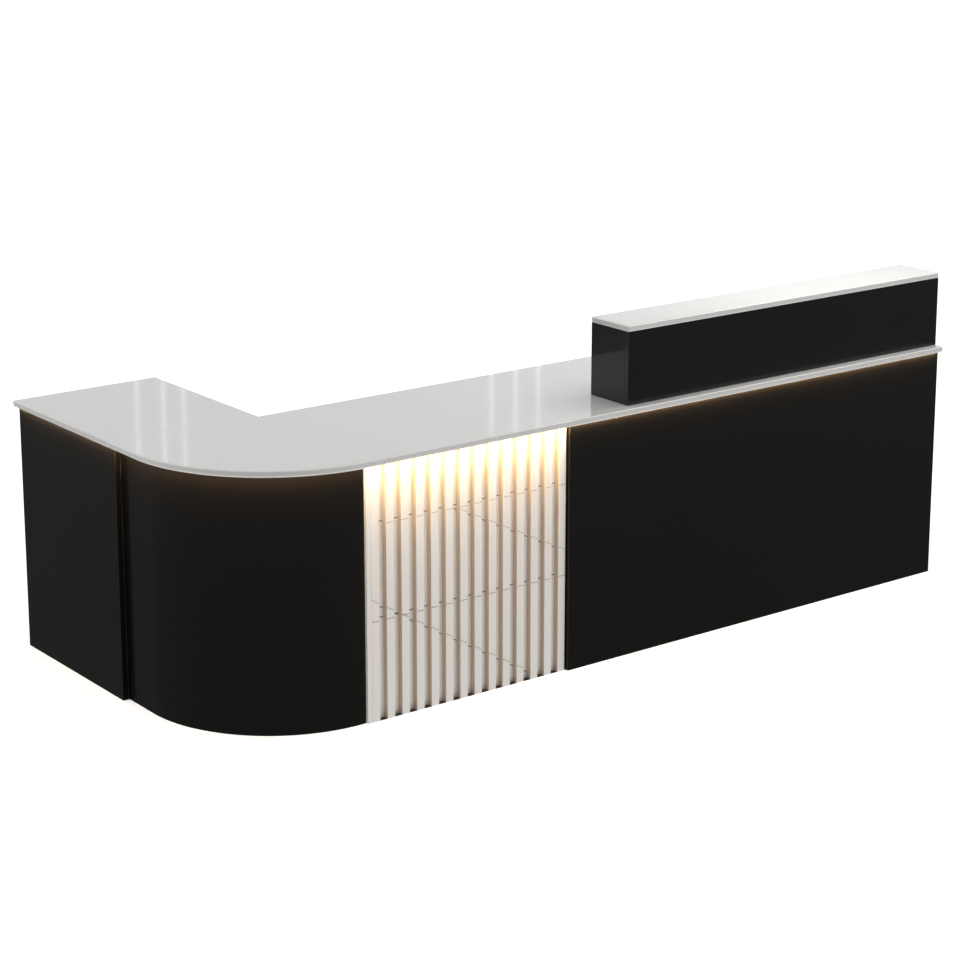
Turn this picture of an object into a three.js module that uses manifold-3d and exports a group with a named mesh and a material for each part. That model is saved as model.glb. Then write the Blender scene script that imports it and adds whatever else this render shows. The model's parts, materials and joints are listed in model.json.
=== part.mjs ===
// Checkout counter: an L-shaped reception and till counter with a rounded front corner.
// Millimetres, +Z up. X runs along the customer front from the rounded corner, and Y runs from
// the customer front to the staff side. The exported group moves the drawing frame, which has
// its zero on the two outer faces, so that the origin lies under the middle of the counter.
import * as THREE from 'three';
import { mergeVertices } from 'three/addons/utils/BufferGeometryUtils.js';
import Module from 'manifold-3d';

const wasm = await Module();
wasm.setup();

// ---- driving dimensions -------------------------------------------------------------------

const COUNTER_HEIGHT = 800; // floor to working surface
const TOTAL_HEIGHT = 1050; // floor to the top of the raised shelf
const BODY_LENGTH = 2820; // outer face of the return to the outer face of the right end
const MAIN_DEPTH = 584; // customer front to the faces of the drawers and the door
const RETURN_WIDTH = 474; // outer face of the return to its open shelves
const RETURN_LENGTH = 1208; // customer front to the far end of the return
const RETURN_START = 604; // where the return's box begins, behind the rounded corner

const STONE = 18; // thickness of the tops
const OVERHANG = 14; // tops past the bodies
const RIGHT_OVERHANG = 8; // main top past the right end
const FAR_OVERHANG = 12; // return top past the return's far end
const CORNER_CENTRE = 461; // centre of the rounded corner, from both outer faces
const STONE_SEAM = 622; // joint between the main top and the return top

const BOARD = 18; // carcass and cladding boards
const SKIN = 12; // bent skin of the corner, and the backs of the grooves
const GAP = 0.3; // clearance between pieces that touch
const CORNER_INSET = 21; // rounded skin behind the return's outer face
const BASE_LIFT = 12; // bottom boards above the floor
const SHELF_HEIGHT = 400;
const SHELF_SETBACK = 10; // shelves behind the open edges

const FLUTED_END = 1214; // where the fluted board ends and the black front panel begins
const FLUTED_START = CORNER_CENTRE + 15;
const RIB_FACE = 12; // rib faces behind the black front panel
const RIB_DEPTH = 18;
const RIB_WIDTH = 27;
const RIB_PITCH = 53;
const RIB_COUNT = 14;
const LAST_RIB_MARGIN = 5; // last rib to the end of the fluted board
const GROOVE_LIFT = 6; // board between the ribs above the floor

const RISER_START = 1457;
const RISER_END = BODY_LENGTH + RIGHT_OVERHANG; // flush with the main top
const RISER_FRONT = 19;
const RISER_DEPTH = 177;

const LED_WIDTH = 8;
const LED_HEIGHT = 2;
const LED_SETBACK = 5; // strip behind the edge of the top
const DRIVER = { length: 160, width: 42, height: 28 };

const PEDESTAL = { start: FLUTED_END + BOARD, width: 448 };
const CUPBOARD_START = 2380;
const RAIL_HEIGHT = 100; // stiffener under the top over the knee space
const RIB_RING = 90; // width of the ring board under the rounded corner

const FRONT_GAP = 3; // between drawer fronts, and under the top
const FRONT_BOTTOM = 14; // lowest edge of the drawer fronts and the door
const DRAWER_FRONT_HEIGHTS = [369, 240, 150]; // from the bottom drawer to the top drawer
const DRAWER_NAMES = ['bottom', 'middle', 'top'];
const DRAWER_SIDE = 12;
const DRAWER_BOTTOM = 10;
const DRAWER_DEPTH = 456;
const DRAWER_CLEARANCE = 20; // drawer box inside its front, below and above
const SLIDE = { room: 13, height: 45, length: 450, sheet: 1.5, lip: 10, back: 112 };

const PULL = { length: 160, radius: 5, reach: 26, post: 4, spacing: 128 };
const HINGE = { height: 60, leaf: 15, sheet: 1.5, knuckle: 4, pin: 1.8, levels: [120, 620] };

// ---- derived sizes ------------------------------------------------------------------------

const UNDER_TOP = COUNTER_HEIGHT - STONE;
const CARCASS_TOP = UNDER_TOP - GAP;
const CARCASS_BACK = MAIN_DEPTH - BOARD;
const FRONT_FACE = MAIN_DEPTH; // plane of the drawer fronts and the door
const STONE_RADIUS = CORNER_CENTRE + OVERHANG;
const SKIN_RADIUS = CORNER_CENTRE - CORNER_INSET;
const SKIN_INSIDE = CORNER_INSET + SKIN;
const GROOVE_FLOOR = RIB_FACE + RIB_DEPTH;
const FLUTED_BACK = GROOVE_FLOOR + SKIN;
const RIGHT_PANEL = BODY_LENGTH - BOARD; // inner face of the right end panel
const MAIN_BACK_EDGE = MAIN_DEPTH + OVERHANG;
const RETURN_INNER_EDGE = RETURN_WIDTH + OVERHANG;
const PEDESTAL_END = PEDESTAL.start + PEDESTAL.width;
const KNEE_START = PEDESTAL_END + BOARD;
const RISER_BACK = RISER_FRONT + RISER_DEPTH;

// ---- finishes -----------------------------------------------------------------------------

const finish = (color, roughness, metalness = 0) =>
  new THREE.MeshStandardMaterial({ color, roughness, metalness });
const FINISH = {
  whiteStone: () => finish(0xe4e3e0, 0.08),
  blackGloss: () => finish(0x1b1b1a, 0.12),
  ivory: () => finish(0xd8d3cc, 0.35),
  carcass: () => finish(0xcfccc6, 0.55),
  led: () => finish(0xffe9bd, 0.4),
  steel: () => finish(0xb4b6b8, 0.35, 1),
  blackMetal: () => finish(0x232324, 0.4, 1),
  driverCase: () => finish(0xdadbdc, 0.5),
};

// ---- shape helpers ------------------------------------------------------------------------

const counter = new THREE.Group();

/** Adds one named piece to the counter. */
function piece(name, geometry, material, place = [0, 0, 0]) {
  const mesh = new THREE.Mesh(geometry, material);
  mesh.name = name;
  mesh.position.set(...place);
  counter.add(mesh);
  return mesh;
}

/** A rectangular board between two limits along each axis. */
function board(name, material, [x0, x1], [y0, y1], [z0, z1]) {
  const geometry = new THREE.BoxGeometry(x1 - x0, y1 - y0, z1 - z0);
  return piece(name, geometry, material, [(x0 + x1) / 2, (y0 + y1) / 2, (z0 + z1) / 2]);
}

/** A flat outline in plan, raised to a thickness. */
function plate(name, material, outline, z0, z1) {
  const geometry = new THREE.ExtrudeGeometry(outline, {
    depth: z1 - z0,
    bevelEnabled: false,
    curveSegments: 40,
  });
  return piece(name, geometry, material, [0, 0, z0]);
}

/** A plan outline that follows the rounded corner at one radius, then goes on through points. */
function cornerOutline(radius, startY, points) {
  const shape = new THREE.Shape();
  shape.moveTo(CORNER_CENTRE - radius, startY);
  if (startY > CORNER_CENTRE) shape.lineTo(CORNER_CENTRE - radius, CORNER_CENTRE);
  shape.absarc(CORNER_CENTRE, CORNER_CENTRE, radius, Math.PI, 1.5 * Math.PI, false);
  for (const [x, y] of points) shape.lineTo(x, y);
  return shape;
}

/** A band between two radii round the corner. It may run on straight by an amount at each end. */
function cornerBand(outer, inner, back = 0, along = 0) {
  const shape = cornerOutline(outer, CORNER_CENTRE + back, along
    ? [[CORNER_CENTRE + along, CORNER_CENTRE - outer],
      [CORNER_CENTRE + along, CORNER_CENTRE - inner]]
    : []);
  shape.absarc(CORNER_CENTRE, CORNER_CENTRE, inner, 1.5 * Math.PI, Math.PI, true);
  if (back) shape.lineTo(CORNER_CENTRE - inner, CORNER_CENTRE + back);
  return shape;
}

/** A three.js geometry as a solid that can be joined and cut. */
function solid(geometry, x = 0, y = 0, z = 0) {
  const plain = geometry.clone().translate(x, y, z);
  plain.deleteAttribute('normal');
  plain.deleteAttribute('uv');
  const merged = mergeVertices(plain, 1e-4);
  return new wasm.Manifold(new wasm.Mesh({
    numProp: 3,
    vertProperties: Float32Array.from(merged.attributes.position.array),
    triVerts: Uint32Array.from(merged.index.array),
  }));
}

/** A solid back as a geometry. */
function surface(shape) {
  const mesh = shape.getMesh();
  const geometry = new THREE.BufferGeometry();
  geometry.setAttribute('position', new THREE.BufferAttribute(mesh.vertProperties, 3));
  geometry.setIndex(new THREE.BufferAttribute(mesh.triVerts, 1));
  geometry.computeVertexNormals();
  return geometry;
}

/** A solid box between two limits along each axis. */
function block([x0, x1], [y0, y1], [z0, z1]) {
  const box = new THREE.BoxGeometry(x1 - x0, y1 - y0, z1 - z0);
  return solid(box, (x0 + x1) / 2, (y0 + y1) / 2, (z0 + z1) / 2);
}

/** A solid round bar along one axis, centred on a point. */
function bar(axis, radius, length, x, y, z, sides = 24) {
  const cylinder = new THREE.CylinderGeometry(radius, radius, length, sides);
  if (axis === 'x') cylinder.rotateZ(Math.PI / 2);
  if (axis === 'z') cylinder.rotateX(Math.PI / 2);
  return solid(cylinder, x, y, z);
}

// ---- tops ---------------------------------------------------------------------------------

function addTops() {
  const mainTop = cornerOutline(STONE_RADIUS, STONE_SEAM - GAP / 2, [
    [BODY_LENGTH + RIGHT_OVERHANG, -OVERHANG],
    [BODY_LENGTH + RIGHT_OVERHANG, MAIN_BACK_EDGE],
    [RETURN_INNER_EDGE, MAIN_BACK_EDGE],
    [RETURN_INNER_EDGE, STONE_SEAM - GAP / 2],
  ]);
  plate('main_top', FINISH.whiteStone(), mainTop, UNDER_TOP, COUNTER_HEIGHT);
  board('return_top', FINISH.whiteStone(), [-OVERHANG, RETURN_INNER_EDGE],
    [STONE_SEAM + GAP / 2, RETURN_LENGTH + FAR_OVERHANG], [UNDER_TOP, COUNTER_HEIGHT]);
  board('riser_top', FINISH.whiteStone(), [RISER_START, RISER_END],
    [RISER_FRONT, RISER_BACK], [TOTAL_HEIGHT - STONE, TOTAL_HEIGHT]);
}

// ---- customer side: panels that are seen from the front -----------------------------------

function flutedOutline() {
  const start = FLUTED_START + GAP;
  const end = FLUTED_END - GAP;
  const lastRib = end - LAST_RIB_MARGIN - RIB_WIDTH;
  const shape = new THREE.Shape();
  shape.moveTo(start, FLUTED_BACK);
  shape.lineTo(start, GROOVE_FLOOR);
  for (let i = 0; i < RIB_COUNT; i += 1) {
    const left = lastRib - (RIB_COUNT - 1 - i) * RIB_PITCH;
    const right = left + RIB_WIDTH;
    shape.lineTo(left, GROOVE_FLOOR);
    shape.lineTo(left, RIB_FACE);
    shape.lineTo(right, RIB_FACE);
    shape.lineTo(right, GROOVE_FLOOR);
  }
  shape.lineTo(end, GROOVE_FLOOR);
  shape.lineTo(end, FLUTED_BACK);
  return shape;
}

/** The fluted board: one board with routed grooves, relieved at the foot behind the ribs. */
function addFlutedBoard() {
  const geometry = new THREE.ExtrudeGeometry(flutedOutline(),
    { depth: CARCASS_TOP, bevelEnabled: false });
  const relief = block([FLUTED_START, FLUTED_END],
    [GROOVE_FLOOR, FLUTED_BACK + 1], [-1, GROOVE_LIFT]);
  piece('fluted_panel', surface(solid(geometry).subtract(relief)), FINISH.ivory());
}

function addCladding() {
  board('front_panel', FINISH.blackGloss(), [FLUTED_END, BODY_LENGTH], [0, BOARD],
    [0, CARCASS_TOP]);
  board('right_end_panel', FINISH.blackGloss(), [RIGHT_PANEL, BODY_LENGTH],
    [BOARD + GAP, FRONT_FACE], [0, CARCASS_TOP]);
  board('return_side_panel', FINISH.blackGloss(), [0, BOARD],
    [RETURN_START, RETURN_LENGTH], [0, CARCASS_TOP]);
  plate('curved_panel', FINISH.blackGloss(),
    cornerBand(SKIN_RADIUS, SKIN_RADIUS - SKIN, RETURN_START - GAP - CORNER_CENTRE,
      FLUTED_START - CORNER_CENTRE), 0, CARCASS_TOP);
  addFlutedBoard();
}

// ---- raised shelf -------------------------------------------------------------------------

function addRiser() {
  const bottom = COUNTER_HEIGHT + GAP;
  const top = TOTAL_HEIGHT - STONE - GAP;
  const back = RISER_FRONT + BOARD + GAP;
  const inside = [RISER_START + BOARD + GAP, RISER_END - BOARD - GAP];
  const middle = (RISER_START + RISER_END) / 2;
  board('riser_front_panel', FINISH.blackGloss(), [RISER_START, RISER_END],
    [RISER_FRONT, RISER_FRONT + BOARD], [bottom, top]);
  board('riser_left_panel', FINISH.blackGloss(), [RISER_START, RISER_START + BOARD],
    [back, RISER_BACK], [bottom, top]);
  board('riser_right_panel', FINISH.blackGloss(), [RISER_END - BOARD, RISER_END],
    [back, RISER_BACK], [bottom, top]);
  board('riser_base_board', FINISH.blackGloss(), inside, [back, RISER_BACK],
    [bottom, bottom + BOARD]);
  board('riser_divider', FINISH.blackGloss(), [middle - BOARD / 2, middle + BOARD / 2],
    [back, RISER_BACK], [bottom + BOARD + GAP, top]);
}

// ---- light under the edge of the top ------------------------------------------------------

function addLight() {
  const outer = LED_SETBACK - OVERHANG; // outer edge of the strip, from the outer faces
  const inner = outer + LED_WIDTH;
  const levels = [CARCASS_TOP - LED_HEIGHT, CARCASS_TOP];
  board('led_strip_return', FINISH.led(), [outer, inner],
    [CORNER_CENTRE + GAP, RETURN_LENGTH - LED_SETBACK], levels);
  plate('led_strip_corner', FINISH.led(),
    cornerBand(CORNER_CENTRE - outer, CORNER_CENTRE - inner), ...levels);
  board('led_strip_front', FINISH.led(), [CORNER_CENTRE + GAP, BODY_LENGTH - LED_SETBACK],
    [outer, inner], levels);
  const driverTop = CARCASS_TOP - BOARD - GAP;
  const driverStart = FLUTED_END - BOARD - DRIVER.length - RIB_RING;
  board('led_driver', FINISH.driverCase(), [driverStart, driverStart + DRIVER.length],
    [FLUTED_BACK + GAP + BOARD, FLUTED_BACK + GAP + BOARD + DRIVER.width],
    [driverTop - DRIVER.height, driverTop]);
}

// ---- carcass ------------------------------------------------------------------------------

function addReturnCabinet() {
  const across = [BOARD + GAP, RETURN_WIDTH];
  const along = [RETURN_START + BOARD + GAP, RETURN_LENGTH - BOARD - GAP];
  board('return_front_gable', FINISH.carcass(), across,
    [RETURN_START, RETURN_START + BOARD], [0, CARCASS_TOP]);
  board('return_end_gable', FINISH.blackGloss(), across,
    [RETURN_LENGTH - BOARD, RETURN_LENGTH], [0, CARCASS_TOP]);
  board('return_base', FINISH.carcass(), across, along, [BASE_LIFT, BASE_LIFT + BOARD]);
  board('return_shelf', FINISH.carcass(), [across[0], RETURN_WIDTH - SHELF_SETBACK], along,
    [SHELF_HEIGHT, SHELF_HEIGHT + BOARD]);
}

function addCornerCabinet() {
  const inside = CORNER_CENTRE - SKIN_INSIDE - GAP; // radius inside the bent skin
  const back = RETURN_START - GAP;
  const floor = (edge) => cornerOutline(inside, back, [
    [edge, CORNER_CENTRE - inside],
    [edge, back],
  ]);
  plate('corner_base', FINISH.carcass(), floor(RETURN_WIDTH), BASE_LIFT, BASE_LIFT + BOARD);
  plate('corner_shelf', FINISH.carcass(), floor(RETURN_WIDTH - SHELF_SETBACK),
    SHELF_HEIGHT, SHELF_HEIGHT + BOARD);
  const gable = FLUTED_END - BOARD;
  const ringFront = FLUTED_BACK + GAP;
  const ring = cornerOutline(inside, back, [
    [FLUTED_START - GAP, CORNER_CENTRE - inside],
    [FLUTED_START - GAP, ringFront],
    [gable - GAP, ringFront],
    [gable - GAP, ringFront + RIB_RING],
  ]);
  ring.absarc(CORNER_CENTRE, CORNER_CENTRE, CORNER_CENTRE - ringFront - RIB_RING,
    1.5 * Math.PI, Math.PI, true);
  ring.lineTo(ringFront + RIB_RING, back);
  plate('corner_top_rib', FINISH.carcass(), ring, CARCASS_TOP - BOARD, CARCASS_TOP);
  board('knee_gable', FINISH.carcass(), [gable, FLUTED_END - GAP],
    [FLUTED_BACK + GAP, MAIN_DEPTH], [0, CARCASS_TOP]);
}

function addMainCabinet() {
  const depth = [BOARD + GAP, CARCASS_BACK];
  const base = [BASE_LIFT, BASE_LIFT + BOARD];
  const gables = {
    pedestal_left_gable: FLUTED_END,
    pedestal_right_gable: PEDESTAL_END,
    cupboard_gable: CUPBOARD_START - BOARD,
  };
  for (const [name, x] of Object.entries(gables)) {
    board(name, FINISH.carcass(), [x, x + BOARD], depth, [0, CARCASS_TOP]);
  }
  const pedestal = [PEDESTAL.start + GAP, PEDESTAL_END - GAP];
  const cupboard = [CUPBOARD_START + GAP, RIGHT_PANEL - GAP];
  board('pedestal_base', FINISH.carcass(), pedestal, depth, base);
  board('cupboard_base', FINISH.carcass(), cupboard, depth, base);
  board('cupboard_shelf', FINISH.carcass(), cupboard,
    [depth[0], CARCASS_BACK - SHELF_SETBACK], [SHELF_HEIGHT, SHELF_HEIGHT + BOARD]);
  board('knee_rail', FINISH.carcass(), [KNEE_START + GAP, CUPBOARD_START - BOARD - GAP],
    [BOARD + GAP, 2 * BOARD + GAP], [CARCASS_TOP - RAIL_HEIGHT, CARCASS_TOP]);
}

// ---- drawers ------------------------------------------------------------------------------

/** A bar pull on a face that looks to the staff side, with its two posts. */
function pull(along, x, z) {
  const barY = FRONT_FACE + GAP + PULL.reach;
  const postLength = PULL.reach;
  let shape = bar(along, PULL.radius, PULL.length, x, barY, z);
  for (const side of [-1, 1]) {
    const offset = side * PULL.spacing / 2;
    const [postX, postZ] = along === 'x' ? [x + offset, z] : [x, z + offset];
    shape = shape.add(bar('y', PULL.post, postLength, postX, barY - postLength / 2, postZ));
  }
  return surface(shape);
}

/** One slide member, drawn as a section across X and Z and run along Y. */
function slideMember(name, section) {
  const geometry = new THREE.ExtrudeGeometry(section,
    { depth: SLIDE.length, bevelEnabled: false });
  geometry.rotateX(Math.PI / 2); // section in X and Z, run towards -Y
  piece(name, geometry, FINISH.steel(), [0, SLIDE.back + SLIDE.length, 0]);
}

function polygon(points) {
  const shape = new THREE.Shape();
  shape.moveTo(...points[0]);
  for (const point of points.slice(1)) shape.lineTo(...point);
  return shape;
}

/** A slide on one side of a drawer: a channel on the gable, and a bar on the drawer in it. */
function addSlide(drawer, side, wall, z) {
  const inward = side === 'left' ? 1 : -1;
  const x = (distance) => wall + inward * distance;
  const half = SLIDE.height / 2;
  const web = GAP + SLIDE.sheet;
  slideMember(`${drawer}_drawer_${side}_channel`, polygon([
    [x(GAP), z - half], [x(SLIDE.lip), z - half], [x(SLIDE.lip), z - half + SLIDE.sheet],
    [x(web), z - half + SLIDE.sheet], [x(web), z + half - SLIDE.sheet],
    [x(SLIDE.lip), z + half - SLIDE.sheet], [x(SLIDE.lip), z + half], [x(GAP), z + half],
  ]));
  const runner = half - 2 * SLIDE.sheet;
  slideMember(`${drawer}_drawer_${side}_runner`, polygon([
    [x(web + SLIDE.sheet), z - runner], [x(SLIDE.room - GAP), z - runner],
    [x(SLIDE.room - GAP), z + runner], [x(web + SLIDE.sheet), z + runner],
  ]));
}

function addDrawers() {
  const box = [PEDESTAL.start + SLIDE.room, PEDESTAL_END - SLIDE.room];
  const boxFront = CARCASS_BACK + GAP / 3;
  const overlay = [FLUTED_END + 2, KNEE_START - 2];
  let z = FRONT_BOTTOM;
  DRAWER_NAMES.forEach((name, i) => {
    const top = z + DRAWER_FRONT_HEIGHTS[i];
    board(`${name}_drawer_front`, FINISH.blackGloss(), overlay,
      [CARCASS_BACK + 2 * GAP, FRONT_FACE], [z, top]);
    const boxBottom = z + DRAWER_CLEARANCE;
    const boxTop = top - DRAWER_CLEARANCE;
    const outside = block(box, [boxFront - DRAWER_DEPTH, boxFront], [boxBottom, boxTop]);
    const inside = block([box[0] + DRAWER_SIDE, box[1] - DRAWER_SIDE],
      [boxFront - DRAWER_DEPTH + DRAWER_SIDE, boxFront - DRAWER_SIDE],
      [boxBottom + DRAWER_BOTTOM, boxTop + 1]);
    piece(`${name}_drawer_box`, surface(outside.subtract(inside)), FINISH.carcass());
    addSlide(name, 'left', PEDESTAL.start, (boxBottom + boxTop) / 2);
    addSlide(name, 'right', PEDESTAL_END, (boxBottom + boxTop) / 2);
    piece(`${name}_drawer_pull`, pull('x', (overlay[0] + overlay[1]) / 2, top - 40),
      FINISH.blackMetal());
    z = top + FRONT_GAP;
  });
}

// ---- cupboard door ------------------------------------------------------------------------

/** A butt hinge: one leaf with the pin on the end panel, one leaf on the door. */
function addHinge(level, z, axisX, axisY) {
  const third = HINGE.height / 3;
  const leafY = [FRONT_FACE + GAP, FRONT_FACE + GAP + HINGE.sheet];
  const frameLeaf = block([axisX + 2, axisX + 2 + HINGE.leaf], leafY, [z, z + HINGE.height]);
  const knuckle = (length, middle) => bar('z', HINGE.knuckle, length, axisX, axisY, middle);
  const pin = bar('z', HINGE.pin, HINGE.height, axisX, axisY, z + HINGE.height / 2);
  const frameSide = frameLeaf
    .add(knuckle(third, z + third / 2))
    .add(knuckle(third, z + HINGE.height - third / 2))
    .subtract(block([axisX - 5, axisX + 5], [axisY - 5, axisY + 5],
      [z + third, z + 2 * third]))
    .add(pin);
  const doorLeaf = block([axisX - 2 - HINGE.leaf, axisX - 2], leafY, [z, z + HINGE.height]);
  const room = block([axisX - 5, axisX + 5], [axisY - 5, axisY + 5],
    [z - 1, z + third + GAP]);
  const doorSide = doorLeaf
    .subtract(room)
    .subtract(room.translate([0, 0, HINGE.height - third - GAP + 1]))
    .add(knuckle(third - 2 * GAP, z + HINGE.height / 2))
    .subtract(bar('z', HINGE.pin + GAP, HINGE.height + 2, axisX, axisY,
      z + HINGE.height / 2));
  piece(`${level}_hinge_frame_leaf`, surface(frameSide), FINISH.steel());
  piece(`${level}_hinge_door_leaf`, surface(doorSide), FINISH.steel());
}

function addDoor() {
  const height = DRAWER_FRONT_HEIGHTS.reduce((sum, h) => sum + h, 2 * FRONT_GAP);
  const left = CUPBOARD_START - BOARD + 2;
  const right = RIGHT_PANEL - 2;
  board('cupboard_door', FINISH.blackGloss(), [left, right],
    [CARCASS_BACK + 2 * GAP, FRONT_FACE], [FRONT_BOTTOM, FRONT_BOTTOM + height]);
  piece('door_pull', pull('z', left + 32, FRONT_BOTTOM + height - 160), FINISH.blackMetal());
  const axisX = RIGHT_PANEL - 1;
  const axisY = FRONT_FACE + GAP + HINGE.knuckle;
  addHinge('lower', HINGE.levels[0], axisX, axisY);
  addHinge('upper', HINGE.levels[1], axisX, axisY);
}

// ---- the counter --------------------------------------------------------------------------

addTops();
addCladding();
addRiser();
addLight();
addReturnCabinet();
addCornerCabinet();
addMainCabinet();
addDrawers();
addDoor();

counter.position.set(
  -(BODY_LENGTH + RIGHT_OVERHANG - OVERHANG) / 2,
  -(RETURN_LENGTH + FAR_OVERHANG - OVERHANG) / 2,
  0,
);

const object = new THREE.Group();
object.add(counter);
export default object;
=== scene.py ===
"""The finishes, fittings, light and stage of an L-shaped checkout counter.

Boards, tops and fittings are finished copies of the frame's nodes, with worked edges. Small
pieces that the frame leaves out, such as screws, shelf pins and inlay, are placed from its
boxes. Metres, +Z up. The customer front faces -Y and the return's outer side faces -X.
"""
import json
import math

import bmesh
import bpy
from mathutils import Matrix, Vector

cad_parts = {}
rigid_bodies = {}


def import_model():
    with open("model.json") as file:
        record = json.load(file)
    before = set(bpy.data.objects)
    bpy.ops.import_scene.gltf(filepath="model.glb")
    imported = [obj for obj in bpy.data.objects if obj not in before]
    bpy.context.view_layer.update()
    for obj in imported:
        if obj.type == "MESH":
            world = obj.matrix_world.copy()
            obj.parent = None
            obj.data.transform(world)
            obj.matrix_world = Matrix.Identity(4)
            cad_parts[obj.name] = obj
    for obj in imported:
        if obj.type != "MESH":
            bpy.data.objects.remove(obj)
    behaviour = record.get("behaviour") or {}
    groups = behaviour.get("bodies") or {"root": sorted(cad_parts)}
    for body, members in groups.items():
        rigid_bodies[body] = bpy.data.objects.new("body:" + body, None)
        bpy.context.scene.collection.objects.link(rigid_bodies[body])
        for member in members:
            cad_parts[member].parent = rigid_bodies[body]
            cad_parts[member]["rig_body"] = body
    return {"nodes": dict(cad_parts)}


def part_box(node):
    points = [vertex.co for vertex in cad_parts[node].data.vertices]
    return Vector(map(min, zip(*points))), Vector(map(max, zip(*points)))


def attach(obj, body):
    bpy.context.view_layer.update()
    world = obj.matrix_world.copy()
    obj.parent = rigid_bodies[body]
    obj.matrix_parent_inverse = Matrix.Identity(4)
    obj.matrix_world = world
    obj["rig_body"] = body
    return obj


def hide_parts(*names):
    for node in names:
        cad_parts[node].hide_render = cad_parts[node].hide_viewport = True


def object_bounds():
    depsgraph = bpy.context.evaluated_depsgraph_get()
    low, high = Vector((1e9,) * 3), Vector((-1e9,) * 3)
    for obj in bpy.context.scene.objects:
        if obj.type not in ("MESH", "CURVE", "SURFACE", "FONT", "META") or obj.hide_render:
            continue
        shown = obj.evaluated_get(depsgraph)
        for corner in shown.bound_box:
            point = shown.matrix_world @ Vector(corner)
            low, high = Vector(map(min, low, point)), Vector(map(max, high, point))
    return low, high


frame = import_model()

CAD_BOX = [list(corner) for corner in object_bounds()]

bl_info = {
    "name": "Checkout Counter",
    "version": (1, 0, 0),
    "blender": (4, 5, 0),
    "location": "View3D > Sidebar > Counter",
    "description": "Builds a checkout counter's finished boards, tops, light and fittings",
    "category": "Object",
}

MM = 0.001
UP = Vector((0, 0, 1))


# ---- settings a user would change ----------------------------------------------------------

def size(name, description, millimetres):
    """A length, given in millimetres."""
    return bpy.props.FloatProperty(
        name=name, description=description, default=millimetres * MM, min=0, unit="LENGTH")


def colour(name, description, default):
    """A linear colour."""
    return bpy.props.FloatVectorProperty(
        name=name, description=description, default=default, size=3, min=0, max=1,
        subtype="COLOR")


def amount(name, description, default):
    """A plain number."""
    return bpy.props.FloatProperty(name=name, description=description, default=default, min=0)


class CounterColours(bpy.types.PropertyGroup):
    """Colours of the counter's finishes."""

    stone: colour("Stone", "Polished tops", (0.58, 0.575, 0.56))
    stone_fleck: colour("Stone fleck", "Fine grains in the tops", (0.44, 0.435, 0.425))
    black: colour("Black gloss", "Lacquered panels and fronts", (0.0032, 0.0026, 0.0018))
    ivory: colour("Ivory", "Lacquer of the fluted board's ribs", (0.73, 0.695, 0.655))
    # Painted light: the grooves' floors paler and warmer than the ribs.
    groove_painted_light: colour("Groove", "The lacquer on the floors of the grooves", (0.88, 0.82, 0.75))
    # Painted shade: the ribs' sides darker and warmer than their faces.
    shaded_rib_wall: colour("Groove wall", "The lacquer on the ribs' sides", (0.60, 0.505, 0.42))
    # Painted light: the glow of the light strip on the ribs' sides near the top.
    lit_wall: colour("Lit wall", "The ribs' sides up by the light", (0.93, 0.80, 0.54))
    inlay: colour("Inlay", "Gold coloured lines", (0.40, 0.32, 0.20))
    board: colour("Board", "Laminate of the cabinets", (0.56, 0.55, 0.53))
    edging: colour("Edging", "Edge tape of the cabinets", (0.50, 0.49, 0.47))
    drawer: colour("Drawer board", "Wrapped board of the drawer boxes", (0.42, 0.41, 0.39))
    zinc: colour("Zinc", "Slides, hinges and shelf pins", (0.55, 0.56, 0.58))
    black_metal: colour("Black metal", "Pulls", (0.022, 0.022, 0.023))
    light: colour("Light", "Colour of the light strip", (1.0, 0.64, 0.33))
    wash: colour("Wash", "Colour of the strip's light on the ribs", (1.0, 0.86, 0.62))


class CounterSizes(bpy.types.PropertyGroup):
    """Small sizes of the finish work."""

    stone_arris: size("Stone arris", "Rounding of the tops' edges", 2.6)
    gloss_arris: size("Gloss arris", "Rounding of the lacquered panels' edges", 0.8)
    board_arris: size("Board arris", "Rounding of the cabinet boards' edges", 0.5)
    joint_width: size("Joint width", "Resin joint between the two tops", 2.4)
    inlay_width: size("Inlay width", "Height of a gold line", 1.7)
    inlay_proud: size("Inlay proud", "Gold line above the lacquer", 0.12)
    shadow_seal_height: size("Seal height", "Rubber seal under the fluted board", 1.2)
    # The seal is a dark strip that stands for the shadow at the foot of the grooves: painted
    # shadow.
    toe_height: size("Toe height", "Strip that closes the board's grooves to the floor", 6.0)
    sleeve_radius: size("Sleeve radius", "Rim of a shelf pin hole", 4.0)
    pin_radius: size("Pin radius", "Shelf pin", 2.5)
    screw_radius: size("Screw radius", "Head of a small screw", 3.4)
    cover_radius: size("Cover radius", "Plastic cover of a board connector", 9.0)


class CounterStage(bpy.types.PropertyGroup):
    """The light and the floor round the counter."""

    sky: amount("Sky", "Strength of the white surroundings", 0.87)
    ground: amount("Ground", "Light that comes up from below the horizon", 2.4)
    mirrored: amount("Mirrored ground", "The same, as polished surfaces mirror it", 0.09)
    back: amount("Back", "Share of the light from below that reaches the staff side", 0.3)
    side: amount("Side", "Share of the light from the sides and the back", 1.15)
    corner: amount("Corner", "Share of the light from before the rounded corner", 0.0)
    shelf_power: amount("Shelf power", "Watts of the soft light above the raised shelf", 7.0)
    tube_power: amount("Tube power", "Watts of each tall light tube behind the counter", 0.13)
    key_power: amount("Key power", "Watts of the soft light at the front left", 12)
    strip_glow: amount("Strip glow", "Strength of the light strip", 112)
    wash_power: amount("Wash power", "Watts per metre of the wash below the tops", 0.80)
    floor: colour("Floor", "Pale floor", (0.82, 0.82, 0.82))


def colours():
    return bpy.context.scene.counter_colours


def sizes():
    return bpy.context.scene.counter_sizes


def stage():
    return bpy.context.scene.counter_stage


# ---- materials -----------------------------------------------------------------------------

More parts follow.
